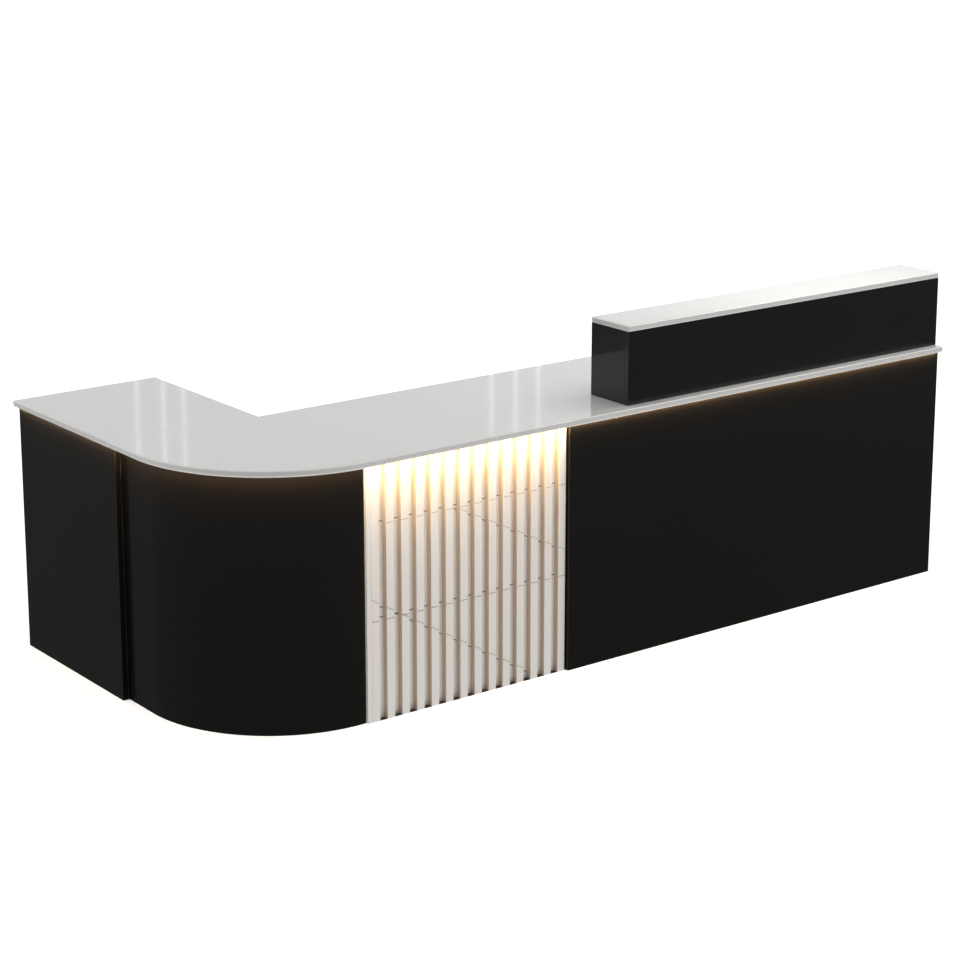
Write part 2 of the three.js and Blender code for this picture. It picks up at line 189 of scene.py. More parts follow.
class Number:
    """A number on a shader socket. Arithmetic on it adds Math nodes."""

    def __init__(self, finish, socket):
        self.finish = finish
        self.socket = socket

    def math(self, operation, first, second):
        return self.finish.add("ShaderNodeMath", {"operation": operation},
                               {0: first, 1: second})

    def __add__(self, other):
        return self.math("ADD", self, other)

    def __sub__(self, other):
        return self.math("SUBTRACT", self, other)

    def __rsub__(self, other):
        return self.math("SUBTRACT", other, self)

    def __mul__(self, other):
        return self.math("MULTIPLY", self, other)

    def below(self, edge):
        return self.math("LESS_THAN", self, edge)

    __radd__ = __add__
    __rmul__ = __mul__


class Finish:
    """A material or a world under construction. Each call to add makes one node."""

    def __init__(self, owner):
        self.owner = owner
        owner.use_nodes = True
        self.tree = owner.node_tree
        self.tree.nodes.clear()

    def add(self, kind, settings=None, sockets=None, output=0):
        """One node: its settings first, then values or links for its sockets."""
        node = self.tree.nodes.new(kind)
        for key, value in (settings or {}).items():
            setattr(node, key, value)
        for key, value in (sockets or {}).items():
            if isinstance(value, Number):
                self.tree.links.new(value.socket, node.inputs[key])
            else:
                node.inputs[key].default_value = value
        return Number(self, node.outputs[output]) if len(node.outputs) else node

    def place(self, stretch=(1, 1, 1)):
        """Object coordinates, stretched along each axis."""
        coordinates = self.add("ShaderNodeTexCoord", output="Object")
        return self.add("ShaderNodeMapping", None, {"Vector": coordinates, "Scale": stretch})

    def noise(self, scale, detail=2.0, roughness=0.5, stretch=(1, 1, 1)):
        """A soft pattern from 0 to 1, with so many grains to the metre."""
        return self.add("ShaderNodeTexNoise", None, {
            "Vector": self.place(stretch), "Scale": scale, "Detail": detail,
            "Roughness": roughness}, "Fac")

    def cells(self, scale):
        """The distance to the nearest of scattered points."""
        return self.add("ShaderNodeTexVoronoi", None,
                        {"Vector": self.place(), "Scale": scale}, "Distance")

    def blend(self, factor, first, second):
        """A mix of two colours."""
        a, b = (c if isinstance(c, Number) else (*c, 1) for c in (first, second))
        return self.add("ShaderNodeMix", {"data_type": "RGBA"}, {0: factor, 6: a, 7: b}, 2)

    def along(self, axis, start, end, low=0.0, high=1.0):
        """From low to high as Object coordinates go from start to end along an axis."""
        return self.between(self.part_of(self.place(), axis), start, end, low, high)

    def part_of(self, vector, axis):
        """One coordinate of a vector."""
        return self.add("ShaderNodeSeparateXYZ", None, {"Vector": vector}, axis)

    def between(self, value, start, end, low, high):
        """From low to high as a value goes from start to end."""
        return self.add("ShaderNodeMapRange", None, {
            "Value": value, "From Min": start, "From Max": end,
            "To Min": low, "To Max": high})

    def bump(self, height, strength, distance):
        return self.add("ShaderNodeBump", None, {
            "Height": height, "Strength": strength, "Distance": distance}, "Normal")

    def surface(self, sockets):
        """The finished shader, from numbers, links and colours of three channels."""
        filled = {key: (*value, 1) if isinstance(value, tuple) else value
                  for key, value in sockets.items()}
        shader = self.add("ShaderNodeBsdfPrincipled", None, filled)
        self.add("ShaderNodeOutputMaterial", None, {"Surface": shader})
        return self.owner


def shade_of(colour_value, factor):
    """A colour made lighter or darker."""
    return tuple(min(1.0, channel * factor) for channel in colour_value)


def polished_stone(finish, painted_highlight=1.0):
    """Off-white engineered stone: faint clouds, fine flecks, and a deep polish."""
    # A factor above 1 paints the stone lighter, as a painted highlight.
    tint = shade_of(colours().stone, painted_highlight)
    cloud = finish.noise(2.6, 5, 0.6)
    base = finish.blend(cloud, shade_of(tint, 0.95), shade_of(tint, 1.05))
    fleck = finish.cells(420).below(0.16) * finish.noise(60, 3)
    base = finish.blend(fleck * 0.55, base, tuple(colours().stone_fleck))
    spark = finish.cells(190).below(0.07)
    base = finish.blend(spark * 0.35, base, shade_of(tint, 1.5))
    smear = finish.noise(9, 4, 0.65)
    return finish.surface({
        "Base Color": base,
        "Roughness": smear * 0.07 + 0.035,
        "Normal": finish.bump(finish.noise(45, 2), 0.04, 0.0004),
        "IOR": 1.54,
    })


def stone_arris(finish):
    """The same stone, painted lighter on the rounded edges as a painted highlight."""
    return polished_stone(finish, 1.4)


def joint_resin(finish):
    """Pale resin in the joint between the tops."""
    tone = finish.noise(120, 3)
    base = finish.blend(tone, (0.74, 0.73, 0.71), (0.86, 0.85, 0.83))
    return finish.surface({"Base Color": base, "Roughness": tone * 0.1 + 0.15})


def black_gloss(finish):
    """Deep black lacquer, with the faint ripple and wiped haze of a sprayed panel."""
    tint = colours().black
    depth = finish.noise(3.5, 4)
    haze = finish.noise(14, 6, 0.7, (1, 1, 0.35))
    dust = finish.cells(520).below(0.05) * finish.noise(30, 2)
    base = finish.blend(depth, shade_of(tint, 0.8), shade_of(tint, 1.25))
    base = finish.blend(dust * 0.25, base, (0.05, 0.05, 0.05))
    ripple = finish.noise(170, 2)
    return finish.surface({
        "Base Color": base,
        "Roughness": haze * 0.06 + 0.035,
        "Normal": finish.bump(ripple, 0.03, 0.0003),
        "IOR": 1.5, "Specular IOR Level": 0.2,
        "Coat Weight": 0.5, "Coat Roughness": 0.42,
    })


def ivory_lacquer(finish):
    """Ivory satin lacquer on routed board, with faint cutter lines, and painted light: the
    grooves painted paler and warmer.
    """
    tint = colours().ivory
    streak = finish.noise(150, 3, 0.6, (1, 1, 0.03))
    cloud = finish.noise(5, 3)
    base = finish.blend(streak, shade_of(tint, 0.965), shade_of(tint, 1.03))
    face_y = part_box("fluted_panel")[0].y
    # Painted light: from the face back into the grooves the colour turns paler and warmer.
    depth = finish.along("Y", face_y + MM, face_y + 5 * MM)
    base = finish.blend(depth, base, tuple(colours().groove_painted_light))
    base = finish.blend(cloud * 0.5, base, shade_of(tint, 0.97))
    return finish.surface({
        "Base Color": base,
        "Roughness": finish.noise(40, 3) * 0.12 + 0.30,
        "Normal": finish.bump(streak, 0.10, 0.0004),
    })


def rib_side_painted_shade_and_glow(finish):
    """The ribs' sides, painted darker and warmer than the faces as painted shade, and paler
    and yellower to the top as a painted glow of the light strip.
    """
    tint = colours().shaded_rib_wall
    streak = finish.noise(170, 3, 0.6, (1, 1, 0.03))
    base = finish.blend(streak, shade_of(tint, 0.93), shade_of(tint, 1.06))
    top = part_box("fluted_panel")[1].z
    # Painted glow of the light strip: the sides turn paler and yellower towards the top.
    near_light = finish.along("Z", top - 260 * MM, top - 30 * MM)
    base = finish.blend(near_light, base, tuple(colours().lit_wall))
    return finish.surface({
        "Base Color": base, "Roughness": streak * 0.12 + 0.34,
        "Normal": finish.bump(streak, 0.10, 0.0004)})


def gold_inlay(finish, shade=1.0):
    """Brushed gold coloured metal."""
    # A factor below 1 paints the metal darker, as painted shade.
    tint = shade_of(colours().inlay, shade)
    brushed = finish.noise(600, 3, 0.6, (0.08, 1, 1))
    base = finish.blend(brushed, shade_of(tint, 0.8), shade_of(tint, 1.15))
    return finish.surface({
        "Base Color": base, "Metallic": 1.0, "Roughness": brushed * 0.2 + 0.28})


def painted_shade_inlay(finish):
    """The same metal, painted darker on the grooves' floors as painted shade."""
    return gold_inlay(finish, 0.35)


def foot_rubber(finish):
    """Dark brown rubber of the seal under the fluted board: a dark strip at the foot of the
    grooves, as painted shadow.
    """
    tone = finish.noise(300, 3)
    base = finish.blend(tone, (0.030, 0.021, 0.018), (0.050, 0.036, 0.030))
    return finish.surface({"Base Color": base, "Roughness": tone * 0.1 + 0.6})


def cabinet_board(finish):
    """Warm grey laminate with a fine pearl grain."""
    tint = colours().board
    grain = finish.noise(900, 3, 0.6)
    cloud = finish.noise(7, 4)
    base = finish.blend(grain, shade_of(tint, 0.93), shade_of(tint, 1.05))
    base = finish.blend(cloud * 0.4, base, shade_of(tint, 0.95))
    return finish.surface({
        "Base Color": base,
        "Roughness": cloud * 0.1 + 0.42,
        "Normal": finish.bump(grain, 0.12, 0.0002),
    })


def edge_tape(finish):
    """Smooth edge tape, a shade off the board."""
    tint = colours().edging
    grain = finish.noise(60, 3, 0.5, (0.2, 0.2, 1))
    base = finish.blend(grain, shade_of(tint, 0.95), shade_of(tint, 1.05))
    return finish.surface({"Base Color": base, "Roughness": grain * 0.12 + 0.3})


def drawer_board(finish):
    """Wrapped drawer board with a linen print: fine crossing threads."""
    tint = colours().drawer
    warp = finish.noise(700, 2, 0.5, (1, 1, 0.03))
    weft = finish.noise(700, 2, 0.5, (0.03, 0.03, 1))
    thread = (warp + weft) * 0.5
    base = finish.blend(thread, shade_of(tint, 0.8), shade_of(tint, 1.18))
    return finish.surface({
        "Base Color": base,
        "Roughness": thread * 0.15 + 0.45,
        "Normal": finish.bump(thread, 0.2, 0.0002),
    })


def zinc_steel(finish):
    """Zinc plated steel sheet, rolled along its length, with cloudy passivation."""
    tint = colours().zinc
    rolled = finish.noise(500, 3, 0.6, (1, 0.02, 1))
    cloud = finish.noise(22, 5, 0.6)
    base = finish.blend(cloud, shade_of(tint, 0.82), shade_of(tint, 1.12))
    return finish.surface({
        "Base Color": base, "Metallic": 1.0,
        "Roughness": rolled * 0.16 + cloud * 0.12 + 0.2,
        "Normal": finish.bump(rolled, 0.08, 0.0002),
    })


def black_metal(finish):
    """Black powder coat on metal, with its fine pebble."""
    tint = colours().black_metal
    pebble = finish.noise(1600, 2)
    wear = finish.noise(40, 4)
    base = finish.blend(wear, shade_of(tint, 0.85), shade_of(tint, 1.25))
    return finish.surface({
        "Base Color": base,
        "Roughness": wear * 0.1 + 0.34,
        "Normal": finish.bump(pebble, 0.2, 0.0002),
    })


def strip_sleeve(finish):
    """Milky silicone round the light strip."""
    tone = finish.noise(200, 2)
    base = finish.blend(tone, (0.62, 0.60, 0.56), (0.72, 0.70, 0.66))
    return finish.surface({"Base Color": base, "Roughness": tone * 0.1 + 0.45})


def strip_light(finish):
    """The lit face of the strip, with the faint unevenness of its milky cover."""
    tone = finish.noise(90, 2)
    base = finish.blend(tone, (0.86, 0.81, 0.72), (0.94, 0.90, 0.82))
    return finish.surface({
        "Base Color": base, "Roughness": tone * 0.1 + 0.45,
        "Emission Color": tuple(colours().light), "Emission Strength": stage().strip_glow})


def white_plastic(finish):
    """Moulded white plastic with a fine spark texture."""
    spark = finish.noise(1300, 2)
    base = finish.blend(spark, (0.66, 0.66, 0.65), (0.74, 0.74, 0.73))
    return finish.surface({
        "Base Color": base, "Roughness": spark * 0.1 + 0.4,
        "Normal": finish.bump(spark, 0.15, 0.0002)})


def grey_plastic(finish):
    """Moulded grey plastic."""
    spark = finish.noise(1300, 2)
    base = finish.blend(spark, (0.20, 0.20, 0.205), (0.26, 0.26, 0.265))
    return finish.surface({
        "Base Color": base, "Roughness": spark * 0.1 + 0.42,
        "Normal": finish.bump(spark, 0.15, 0.0002)})


def painted_shade_hole(finish):
    """Painted shade: a dark disc that stands for the unlit inside of a drilled hole."""
    grit = finish.noise(900, 2)
    base = finish.blend(grit, (0.012, 0.010, 0.008), (0.03, 0.026, 0.02))
    return finish.surface({"Base Color": base, "Roughness": 0.9})


def pale_floor(finish):
    """A plain pale floor."""
    return finish.surface({
        "Base Color": tuple(stage().floor), "Roughness": 0.9, "Specular IOR Level": 0.0,
        "Emission Color": (1, 1, 1), "Emission Strength": 0.5})


MAKERS = {maker.__name__: maker for maker in (
    polished_stone, stone_arris, joint_resin, black_gloss, ivory_lacquer, rib_side_painted_shade_and_glow,
    gold_inlay, painted_shade_inlay, foot_rubber, cabinet_board, edge_tape, drawer_board,
    zinc_steel, black_metal, strip_sleeve, strip_light, white_plastic, grey_plastic,
    painted_shade_hole, pale_floor)}


def finish_named(name):
    """A material, made the first time that it is asked for."""
    label = f"{name}_finish"
    ready = bpy.data.materials.get(label)
    return ready or MAKERS[name](Finish(bpy.data.materials.new(label)))


# ---- mesh work -----------------------------------------------------------------------------

def merged_copy(node):
    """A CAD node's mesh as a bmesh with shared corners and whole faces."""
    bm = bmesh.new()
    bm.from_mesh(frame["nodes"][node].data)
    bmesh.ops.remove_doubles(bm, verts=bm.verts, dist=0.01 * MM)
    bmesh.ops.dissolve_limit(bm, angle_limit=math.radians(0.4), verts=bm.verts,
                             edges=bm.edges)
    return bm


def is_corner(edge, degrees):
    """Whether two faces meet at the edge with more than so much of a turn."""
    return len(edge.link_faces) == 2 and edge.calc_face_angle(0) > math.radians(degrees)


def bevel(bm, edges, arris, segments):
    return bmesh.ops.bevel(
        bm, geom=edges, offset=arris, offset_type="OFFSET", segments=segments,
        profile=0.5, affect="EDGES", clamp_overlap=True, material=-1)


def round_edges(bm, arris, segments=2):
    """Rounds every sharp edge, and sets smooth and sharp shading."""
    made = bevel(bm, [e for e in bm.edges if is_corner(e, 30)], arris, segments)
    rounded = set(made["faces"])
    for face in bm.faces:
        face.smooth = True
    for edge in bm.edges:
        sides = [face in rounded for face in edge.link_faces]
        meets_flat = len(sides) == 2 and sides[0] != sides[1]
        edge.smooth = not is_corner(edge, 3 if meets_flat else 32)
    return bm


def body_of(node):
    return frame["nodes"][node]["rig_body"]


def add_piece(name, bm, finishes, body, nodes=()):
    """A bmesh as a finished piece that rides on a body and stands for some CAD nodes."""
    mesh = bpy.data.meshes.new(name)
    bm.to_mesh(mesh)
    bm.free()
    for finish in finishes:
        mesh.materials.append(finish_named(finish))
    piece = bpy.data.objects.new(name, mesh)
    bpy.context.scene.collection.objects.link(piece)
    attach(piece, body)
    if nodes:
        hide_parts(*nodes)
    return piece


def finish_node(node, suffix, finishes, arris, segments=2, paint=None):
    """A CAD node's shape with worked edges, in place of the node."""
    bm = round_edges(merged_copy(node), arris, segments)
    if paint:
        for face in bm.faces:
            if paint(face):
                face.material_index = 1
    return add_piece(f"{node}_{suffix}", bm, finishes, body_of(node), [node])


def faces_of(made):
    """The faces of a shape that a bmesh operator has just made."""
    return {face for corner in made["verts"] for face in corner.link_faces}


def lacquer_node(node, inner):
    """A black gloss panel in place of a CAD node, with plain board on its inner face."""
    finish_node(node, "lacquered", ["black_gloss", "cabinet_board"],
                sizes().gloss_arris, paint=inner)


def towards(axis, sign):
    """A test for faces that look one way."""
    return lambda face: face.normal[axis] * sign > 0.9


def on_edges(node):
    """A test for a board's narrow faces."""
    low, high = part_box(node)
    span = list(high - low)
    thin = span.index(min(span))
    return lambda face: abs(face.normal[thin]) < 0.7


def put_box(bm, low, high, material=0):
    """A box between two corners."""
    low, high = Vector(low), Vector(high)
    middle = Matrix.Translation((low + high) / 2)
    made = bmesh.ops.create_cube(
        bm, size=1, matrix=middle @ Matrix.Diagonal((*(high - low), 1)))
    for face in faces_of(made):
        face.material_index = material


def put_rod(bm, start, along, radius, sides=20, material=0, rim=0.0):
    """A round bar from a point, along a vector, with its far and near rims rounded."""
    start, along = Vector(start), Vector(along)
    turn = along.to_track_quat("Z", "Y").to_matrix().to_4x4()
    made = bmesh.ops.create_cone(
        bm, cap_ends=True, cap_tris=False, segments=sides, radius1=radius, radius2=radius,
        depth=along.length, matrix=Matrix.Translation(start + along / 2) @ turn)
    faces = faces_of(made)
    for face in faces:
        face.material_index = material
        face.smooth = len(face.verts) == 4
    caps = [f for f in faces if len(f.verts) > 4]
    rims = {e for cap in caps for e in cap.edges}
    if rim:
        bevel(bm, list(rims), rim, 2)
    else:
        for edge in rims:
            edge.smooth = False


def put_screw(bm, place, facing, radius, height, material=0):
    """A low round screw head with a recess, standing on a surface."""
    place, facing = Vector(place), Vector(facing).normalized()
    turn = facing.to_track_quat("Z", "Y").to_matrix().to_4x4()
    made = bmesh.ops.create_cone(
        bm, cap_ends=True, cap_tris=False, segments=12, radius1=radius, radius2=radius * 0.7,
        depth=height, matrix=Matrix.Translation(place + facing * height / 2) @ turn)
    faces = faces_of(made)
    bm.normal_update()
    top = [f for f in faces if len(f.verts) > 4 and f.normal.dot(facing) > 0.5]
    bmesh.ops.inset_region(bm, faces=top, thickness=radius * 0.3, depth=-height * 0.6)
    for face in faces:
        face.material_index = material


# ---- tops ----------------------------------------------------------------------------------

class COUNTER_OT_stone_tops(bpy.types.Operator):
    """Make the three polished stone tops and the resin joint between two of them"""

    bl_idname = "counter.stone_tops"
    bl_label = "Stone tops"

    def execute(self, context):
        for node in ("main_top", "return_top", "riser_top"):
            # The rounded edge faces take the lighter stone, a painted highlight.
            finish_node(node, "slab", ["polished_stone", "stone_arris"],
                        sizes().stone_arris, 3,
                        lambda face: 0.1 < abs(face.normal.z) < 0.95)
        low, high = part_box("return_top")
        half = sizes().joint_width / 2
        joint = low.y - 0.15 * MM
        bm = bmesh.new()
        put_box(bm, (low.x + MM, joint - half, low.z + MM),
                (high.x - MM, joint + half, high.z - 0.05 * MM))
        add_piece("top_joint", bm, ["joint_resin"], body_of("main_top"))
        return {"FINISHED"}


# ---- customer side -------------------------------------------------------------------------

class COUNTER_OT_gloss_panels(bpy.types.Operator):
    """Make the flat black panels of the front, the right end and the return"""

    bl_idname = "counter.gloss_panels"
    bl_label = "Gloss panels"

    def execute(self, context):
        inner_faces = {
            "front_panel": towards(1, 1),
            "right_end_panel": towards(0, -1),
            "return_side_panel": towards(0, 1),
            "return_end_gable": towards(1, -1),
        }
        for node, inner in inner_faces.items():
            lacquer_node(node, inner)
        self.lipping()
        return {"FINISHED"}

    def lipping(self):
        """A black strip on the gable that shows between the return and the rounded corner."""
        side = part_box("return_side_panel")[1].x
        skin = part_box("curved_panel")[0].x
        gable, gable_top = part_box("return_front_gable")
        bm = bmesh.new()
        put_box(bm, (side + 0.1 * MM, gable.y - 0.2 * MM, gable.z),
                (skin + MM, gable.y, gable_top.z))
        add_piece("return_corner_lipping", bm, ["black_gloss"],
                  body_of("return_front_gable"))


class COUNTER_OT_curved_panel(bpy.types.Operator):
    """Make the bent black skin round the corner"""

    bl_idname = "counter.curved_panel"
    bl_label = "Curved panel"

    def execute(self, context):
        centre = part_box("led_strip_corner")[1]

        def inside(face):
            to_centre = centre - face.calc_center_median()
            upright = abs(face.normal.z) < 0.5
            return upright and face.normal.dot(Vector((to_centre.x, to_centre.y, 0))) > 0.05

        lacquer_node("curved_panel", inside)
        return {"FINISHED"}


def flute_outline():
    """The fluted board's front in plan, from left to right, as corner points."""
    corners = frame["nodes"]["fluted_panel"].data.vertices
    face_y, floor_y = sorted({round(v.co.y, 5) for v in corners})[:2]
    ribs = sorted({round(v.co.x, 5) for v in corners if abs(v.co.y - face_y) < MM / 10})
    points = []
    for left, right in zip(ribs[0::2], ribs[1::2]):
        points += [(left, floor_y), (left, face_y), (right, face_y), (right, floor_y)]
    return points


class COUNTER_OT_fluted_board(bpy.types.Operator):
    """Make the fluted ivory board, its flat end strip, its toe strip and its seal, a dark
    strip that is painted shadow at the foot of the grooves
    """

    bl_idname = "counter.fluted_board"
    bl_label = "Fluted board"

    def execute(self, context):
        low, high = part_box("fluted_panel")
        (first_x, floor_y), (_, face_y) = flute_outline()[:2]
        self.board(low.x)
        bm = bmesh.new()
        put_box(bm, (low.x, face_y, low.z), (first_x - 0.1 * MM, floor_y, high.z))
        round_edges(bm, sizes().gloss_arris)
        self.strip("end_strip", bm, "ivory_lacquer", "ivory_fluted")
        # The seal: a dark strip along the grooves at the floor, as painted shadow.
        bm = bmesh.new()
        put_box(bm, (low.x + MM, face_y + 0.6 * MM, low.z),
                (high.x - MM, floor_y + MM, low.z + sizes().shadow_seal_height))
        self.strip("seal", bm, "foot_rubber", "black_gloss")
        bm = bmesh.new()
        put_box(bm, (low.x + MM, floor_y + 0.1 * MM, low.z),
                (high.x - MM, high.y - MM, low.z + sizes().toe_height))
        self.strip("toe_strip", bm, "ivory_lacquer", "ivory_fluted")
        return {"FINISHED"}

    def board(self, left):
        """The board itself: lacquered front, bare back, and sides of the ribs in painted shade
        and painted glow.
        """
        bm = round_edges(merged_copy("fluted_panel"), sizes().gloss_arris)
        # The ribs' sides take the material painted with shade and glow.
        for face in bm.faces:
            if face.normal.y > 0.9:
                face.material_index = 1
            elif abs(face.normal.x) > 0.9 and left + MM < face.calc_center_median().x:
                face.material_index = 2
        add_piece("fluted_panel_lacquered", bm, ["ivory_lacquer", "cabinet_board", "rib_side_painted_shade_and_glow"],
                  body_of("fluted_panel"), ["fluted_panel"])

    def strip(self, name, bm, finish, slot):
        """A strip that is fixed to the board."""
        add_piece(f"fluted_panel_{name}", bm, [finish], body_of("fluted_panel"))


class COUNTER_OT_inlay(bpy.types.Operator):
    """Lay four thin gold lines over the ribs and grooves of the fluted board"""

    bl_idname = "counter.inlay"
    bl_label = "Gold inlay"

    # Each line: where it starts and ends along the board, and its height at both, as metres
    # from the board's left end and from the floor.
    LINES = (
        ((0.04, 0.598), (0.74, 0.598)),
        ((0.32, 0.598), (0.74, 0.386)),
        ((0.01, 0.308), (0.74, 0.308)),
        ((0.01, 0.380), (0.60, 0.027)),
    )
    FLOOR_WIDENING = 1.6  # how much wider a line is on a groove's floor
    FLOOR_RISE = 0.17  # how much higher it lies there, as a share of the groove's depth

    def lay(self, bm, start, end, left):
        """One line, as strips on the ribs' faces and on the floors of the grooves."""
        points = flute_outline()
        face_y = min(y for x, y in points)
        climb = (end[1] - start[1]) / (end[0] - start[0])
        width, proud, arris = sizes().inlay_width, sizes().inlay_proud, sizes().gloss_arris
        for (x0, y0), (x1, y1) in zip(points, points[1:]):
            x0 = max(x0 + arris, left + start[0])
            x1 = min(x1 - arris, left + end[0])
            if y0 != y1 or x1 <= x0:
                continue
            depth = y0 - face_y
            on_floor = depth > 0
            middle = (x0 + x1) / 2
            run = middle + depth - left - start[0]
            height = start[1] + climb * run + depth * self.FLOOR_RISE
            wide = width * (self.FLOOR_WIDENING if on_floor else 1)
            sheared = Matrix((
                (x1 - x0, 0, 0, middle),
                (0, proud * 2, 0, y0),
                (climb * (x1 - x0), 0, wide, height),
                (0, 0, 0, 1)))
            made = bmesh.ops.create_cube(bm, size=1, matrix=sheared)
            # Strips on the grooves' floors take the darker metal: painted shade.
            for face in faces_of(made):
                face.material_index = int(on_floor)

    def execute(self, context):
        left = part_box("fluted_panel")[0].x
        bm = bmesh.new()
        for start, end in self.LINES:
            self.lay(bm, start, end, left)
        bmesh.ops.recalc_face_normals(bm, faces=bm.faces)
        add_piece("fluted_panel_inlay", bm, ["gold_inlay", "painted_shade_inlay"],
                  body_of("fluted_panel"))
        return {"FINISHED"}


class COUNTER_OT_raised_shelf(bpy.types.Operator):
    """Make the black box under the raised shelf"""

    bl_idname = "counter.raised_shelf"
    bl_label = "Raised shelf"

    def execute(self, context):
        for part in ("front_panel", "left_panel", "right_panel", "base_board", "divider"):
            finish_node(f"riser_{part}", "lacquered", ["black_gloss"],
                        sizes().gloss_arris)
        return {"FINISHED"}


# ---- light ---------------------------------------------------------------------------------

class COUNTER_OT_edge_light(bpy.types.Operator):
    """Make the light strip under the edge of the tops"""

    bl_idname = "counter.edge_light"
    bl_label = "Edge light"

    def execute(self, context):
        for run in ("return", "corner", "front"):
            finish_node(f"led_strip_{run}", "sleeve", ["strip_sleeve", "strip_light"],
                        0.4 * MM, paint=lambda face: face.normal.z < -0.97)
        return {"FINISHED"}


class COUNTER_OT_light_driver(bpy.types.Operator):
    """Make the light's driver: case, end caps, blank label and fixing screws"""

    bl_idname = "counter.light_driver"
    bl_label = "Light driver"

    def execute(self, context):
        low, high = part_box("led_driver")
        cap = 14 * MM  # how far an end cap reaches in from the end of its fixing ear
        ear = 7 * MM
        bm = bmesh.new()
        put_box(bm, (low.x + cap, low.y, low.z + 0.6 * MM), (high.x - cap, high.y, high.z))
        round_edges(bm, 1.5 * MM, 3)
        for x0, x1 in ((low.x + ear, low.x + cap), (high.x - cap, high.x - ear)):
            put_box(bm, (x0, low.y + MM, low.z + 2 * MM), (x1, high.y - MM, high.z - MM), 1)
        for x0, x1 in ((low.x, low.x + cap), (high.x - cap, high.x)):
            put_box(bm, (x0, low.y + 8 * MM, high.z - 3 * MM),
                    (x1, high.y - 8 * MM, high.z - 0.2 * MM), 1)
        for x in (low.x + ear / 2, high.x - ear / 2):
            put_screw(bm, (x, (low.y + high.y) / 2, high.z - 3 * MM), (0, 0, -1),
                      2.6 * MM, 1.5 * MM, 2)
        put_box(bm, (low.x + 30 * MM, low.y + 6 * MM, low.z + 0.4 * MM),
                (high.x - 30 * MM, high.y - 6 * MM, low.z + MM), 3)
        add_piece("led_driver_case", bm,
                  ["white_plastic", "grey_plastic", "zinc_steel", "edge_tape"],
                  body_of("led_driver"), ["led_driver"])
        return {"FINISHED"}


# ---- cabinets ------------------------------------------------------------------------------

class COUNTER_OT_cabinet_boards(bpy.types.Operator):
    """Make the laminated boards of the cabinets, with taped edges"""

    bl_idname = "counter.cabinet_boards"
    bl_label = "Cabinet boards"

    BOARDS = ("return_front_gable", "return_base", "return_shelf", "corner_base",
              "corner_shelf", "corner_top_rib", "knee_gable", "pedestal_left_gable",
              "pedestal_right_gable", "cupboard_gable", "pedestal_base", "cupboard_base",
              "cupboard_shelf", "knee_rail")

    def execute(self, context):
        for node in self.BOARDS:
            finish_node(node, "board", ["cabinet_board", "edge_tape"],
                        sizes().board_arris, paint=on_edges(node))
        return {"FINISHED"}


PIN_DROP = 3 * MM  # from a shelf's underside down to the middle of its pins


def sleeve_places():
    """Where shelf pin holes are drilled: (point on a board's face, way the face looks)."""
    margin = 37 * MM
    rows = [32 * MM * row - PIN_DROP for row in range(-5, 6)]
    places = []
    shelf, shelf_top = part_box("return_shelf")
    for node, face, facing in (("return_front_gable", 1, 1), ("return_end_gable", 0, -1)):
        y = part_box(node)[face].y
        for x in (shelf.x + margin, shelf_top.x - margin):
            places += [((x, y, shelf.z + row), (0, facing, 0)) for row in rows]
    shelf, shelf_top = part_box("cupboard_shelf")
    for node, face, facing in (("cupboard_gable", 1, 1), ("right_end_panel", 0, -1)):
        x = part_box(node)[face].x
        for y in (shelf.y + margin, shelf_top.y - margin):
            places += [((x, y, shelf.z + row), (facing, 0, 0)) for row in rows]
    return places


class COUNTER_OT_shelf_fittings(bpy.types.Operator):
    """Make the rows of shelf pin sleeves, and the pins that hold the shelves"""

    bl_idname = "counter.shelf_fittings"
    bl_label = "Shelf fittings"

    def execute(self, context):
        rim, pin = sizes().sleeve_radius, sizes().pin_radius
        sleeves = bmesh.new()
        pins = bmesh.new()
        in_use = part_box("return_shelf")[0].z - PIN_DROP
        for place, facing in sleeve_places():
            place, step = Vector(place), Vector(facing) * MM
            put_rod(sleeves, place, step * 0.5, rim, 12)
            # A dark disc in each sleeve stands for its hole: painted shade.
            put_rod(sleeves, place + step * 0.5, step * 0.05, pin, 10, 1)
            if abs(place.z - in_use) < MM:
                put_rod(pins, place + step * 0.6, step * 1.2, 3.6 * MM, 16)
                put_rod(pins, place + step * 1.8, step * 7, pin, 16, 0, 0.5 * MM)
        add_piece("shelf_pin_sleeves", sleeves, ["edge_tape", "painted_shade_hole"],
                  body_of("return_shelf"))
        add_piece("shelf_pins", pins, ["zinc_steel"], body_of("return_shelf"))
        return {"FINISHED"}


class COUNTER_OT_connector_covers(bpy.types.Operator):
    """Make the round plastic covers over the boards' connectors"""

    bl_idname = "counter.connector_covers"
    bl_label = "Connector covers"

    def execute(self, context):
        bm = bmesh.new()
        inset = 34 * MM
        for node in ("return_base", "return_shelf", "corner_base"):
            low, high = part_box(node)
            for y in (low.y + inset * 3, high.y - inset):
                for part in (0.55, 0.85):
                    self.cover(bm, (low.x + (high.x - low.x) * part, y, high.z), UP)
        low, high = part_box("cupboard_base")
        for x in (low.x + inset, high.x - inset):
            for part in (0.2, 0.8):
                self.cover(bm, (x, low.y + (high.y - low.y) * part, high.z), UP)
        low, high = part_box("knee_rail")
        for x in (low.x + inset, high.x - inset):
            for part in (0.3, 0.7):
                self.cover(bm, (x, high.y, low.z + (high.z - low.z) * part), (0, 1, 0))
        add_piece("connector_covers", bm, ["edge_tape"], body_of("return_base"))
        return {"FINISHED"}

    def cover(self, bm, place, facing):
        """One round cover on a board's face."""
        along = Vector(facing) * 0.9 * MM
        put_rod(bm, place, along, sizes().cover_radius, 24, 0, 0.4 * MM)


# ---- drawers -------------------------------------------------------------------------------

